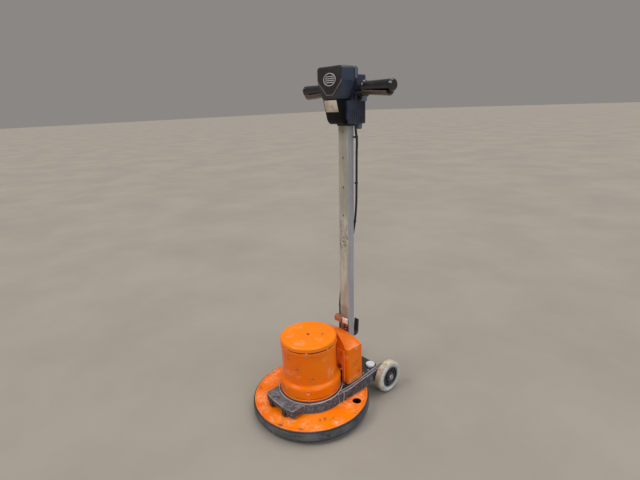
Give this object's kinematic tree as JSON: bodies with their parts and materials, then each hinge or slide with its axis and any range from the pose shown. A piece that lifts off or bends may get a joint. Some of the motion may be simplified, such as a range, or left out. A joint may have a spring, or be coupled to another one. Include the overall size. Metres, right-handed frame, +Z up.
{
  "type": "single-disc floor grinder",
  "caption": "Upright single-disc rotary floor grinder: round deck, vertical motor, wheeled yoke, and a tilting column with a twin-grip head.",
  "frame": {"origin": "centre of the abrasive disc's underside, on the disc's axis at floor level", "axes": "+Z up, -Y forwards over the nose, +Y towards the operator, +X towards the operator's left"},
  "size_m": [0.432, 0.5477, 1.1943],
  "materials": {
    "orange_paint": "gloss, scuffed",
    "bumper_rubber": "matt, scuffed",
    "cast_frame": "textured grey paint, worn edges",
    "black_steel": "satin black",
    "bare_steel": "zinc plated",
    "cast_aluminium": "as cast",
    "laminated_steel": "stacked laminations",
    "copper_winding": "varnished",
    "gear_steel": "oiled",
    "black_plastic": "fine texture",
    "gloss_black": "gloss",
    "tyre_grey": "worn grey rubber",
    "white_plastic": "satin",
    "column_steel": "bare, stained",
    "release_paint": "worn orange paint",
    "abrasive": "coarse grit",
    "lever_plastic": "gloss"
  },
  "bodies": {
    "chassis": {"deck_plate": "orange_paint", "bumper_ring": "bumper_rubber", "gearbox_housing": "cast_aluminium", "output_bearing": "bare_steel", "ring_gear": "gear_steel", "motor_flange": "orange_paint", "motor_housing": "orange_paint", "motor_cap": "orange_paint", "upper_end_shield": "cast_aluminium", "stator_core": "laminated_steel", "winding_upper": "copper_winding", "winding_lower": "copper_winding", "upper_bearing": "bare_steel", "lower_bearing": "bare_steel", "yoke_frame": "cast_frame", "rear_plate": "black_steel", "axle": "bare_steel", "axle_cap_left": "bare_steel", "axle_cap_right": "bare_steel", "rear_cap_left": "white_plastic", "rear_cap_right": "white_plastic", "electrical_box": "orange_paint", "capacitor": "cast_aluminium", "column_bracket": "black_steel", "pivot_pin": "bare_steel", "plate_gland": "black_plastic", "motor_lead_lower": "gloss_black"},
    "disc": {"abrasive_disc": "abrasive", "drive_disc": "black_plastic", "planet_carrier": "gear_steel"},
    "rotor": {"rotor_shaft": "gear_steel", "rotor_core": "laminated_steel", "cooling_fan": "black_plastic", "sun_gear": "gear_steel"},
    "planet_1": {"planet_gear_1": "gear_steel"},
    "planet_2": {"planet_gear_2": "gear_steel"},
    "planet_3": {"planet_gear_3": "gear_steel"},
    "wheel_left": {"wheel_tyre_left": "tyre_grey", "wheel_hub_left": "black_plastic"},
    "wheel_right": {"wheel_tyre_right": "tyre_grey", "wheel_hub_right": "black_plastic"},
    "column": {"column_tube": "column_steel", "column_collar": "black_plastic", "cable_hook": "black_plastic", "lever_bracket": "release_paint", "head_front_cover": "black_plastic", "head_chin_cover": "black_plastic", "head_rear_cover": "black_plastic", "handlebar": "bare_steel", "grip_left": "gloss_black", "grip_right": "gloss_black", "power_switch": "black_plastic", "mains_gland": "black_plastic", "motor_lead_upper": "gloss_black"},
    "lever_left": {"switch_lever_left": "lever_plastic"},
    "lever_right": {"switch_lever_right": "lever_plastic"},
    "button": {"safety_button": "gloss_black"},
    "release": {"tilt_lever": "release_paint"},
    "lock": {"lock_bar": "bare_steel"}
  },
  "joints": [
    {"name": "disc_spin", "type": "hinge", "parent": "chassis", "child": "disc", "pos_m": [0, 0, 0], "axis": [0, 0, 1], "continuous": true},
    {"name": "rotor_spin", "type": "hinge", "parent": "chassis", "child": "rotor", "pos_m": [0, 0, 0.2], "axis": [0, 0, 1], "continuous": true},
    {"name": "planet_1_spin", "type": "hinge", "parent": "disc", "child": "planet_1", "pos_m": [0.045, 0, 0.073], "axis": [0, 0, 1], "continuous": true},
    {"name": "planet_2_spin", "type": "hinge", "parent": "disc", "child": "planet_2", "pos_m": [-0.0225, 0.03897, 0.073], "axis": [0, 0, 1], "continuous": true},
    {"name": "planet_3_spin", "type": "hinge", "parent": "disc", "child": "planet_3", "pos_m": [-0.0225, -0.03897, 0.073], "axis": [0, 0, 1], "continuous": true},
    {"name": "wheel_left_spin", "type": "hinge", "parent": "chassis", "child": "wheel_left", "pos_m": [0.145, 0.27, 0.062], "axis": [1, 0, 0], "continuous": true},
    {"name": "wheel_right_spin", "type": "hinge", "parent": "chassis", "child": "wheel_right", "pos_m": [-0.145, 0.27, 0.062], "axis": [1, 0, 0], "continuous": true},
    {"name": "column_tilt", "type": "hinge", "parent": "chassis", "child": "column", "pos_m": [0, 0.1953, 0.112], "axis": [-1, 0, 0], "range_deg": [0, 60], "deforming": ["motor_lead_lower"]},
    {"name": "switch_lever_left_squeeze", "type": "hinge", "parent": "column", "child": "lever_left", "pos_m": [0.056, 0.21642, 1.10378], "axis": [0, -0.9998, 0.0213], "range_deg": [0, 4.3], "stiffness_Nm_per_rad": 6, "springref_deg": -4.58},
    {"name": "switch_lever_right_squeeze", "type": "hinge", "parent": "column", "child": "lever_right", "pos_m": [-0.056, 0.21642, 1.10378], "axis": [0, 0.9998, -0.0213], "range_deg": [0, 4.3], "stiffness_Nm_per_rad": 6, "springref_deg": -4.58},
    {"name": "safety_button_press", "type": "slide", "parent": "column", "child": "button", "axis": [0, -0.9998, 0.0213], "range_m": [0, 0.005], "stiffness_N_per_m": 600, "springref_m": -0.003},
    {"name": "tilt_lever_lift", "type": "hinge", "parent": "column", "child": "release", "pos_m": [0.014, 0.17521, 0.27246], "axis": [0, 0.9998, -0.0213], "range_deg": [0, 12], "stiffness_Nm_per_rad": 4, "springref_deg": -11.46},
    {"name": "lock_bar_lift", "type": "slide", "parent": "column", "child": "lock", "axis": [0, 0.0213, 0.9998], "range_m": [0, 0.006]}
  ],
  "couplings": [
    {"joint": "rotor_spin", "follows": "disc_spin", "ratio": 8},
    {"joint": "planet_1_spin", "follows": "disc_spin", "ratio": -2.3333},
    {"joint": "planet_2_spin", "follows": "disc_spin", "ratio": -2.3333},
    {"joint": "planet_3_spin", "follows": "disc_spin", "ratio": -2.3333},
    {"joint": "lock_bar_lift", "follows": "tilt_lever_lift", "m_per_rad": 0.0205}
  ]
}
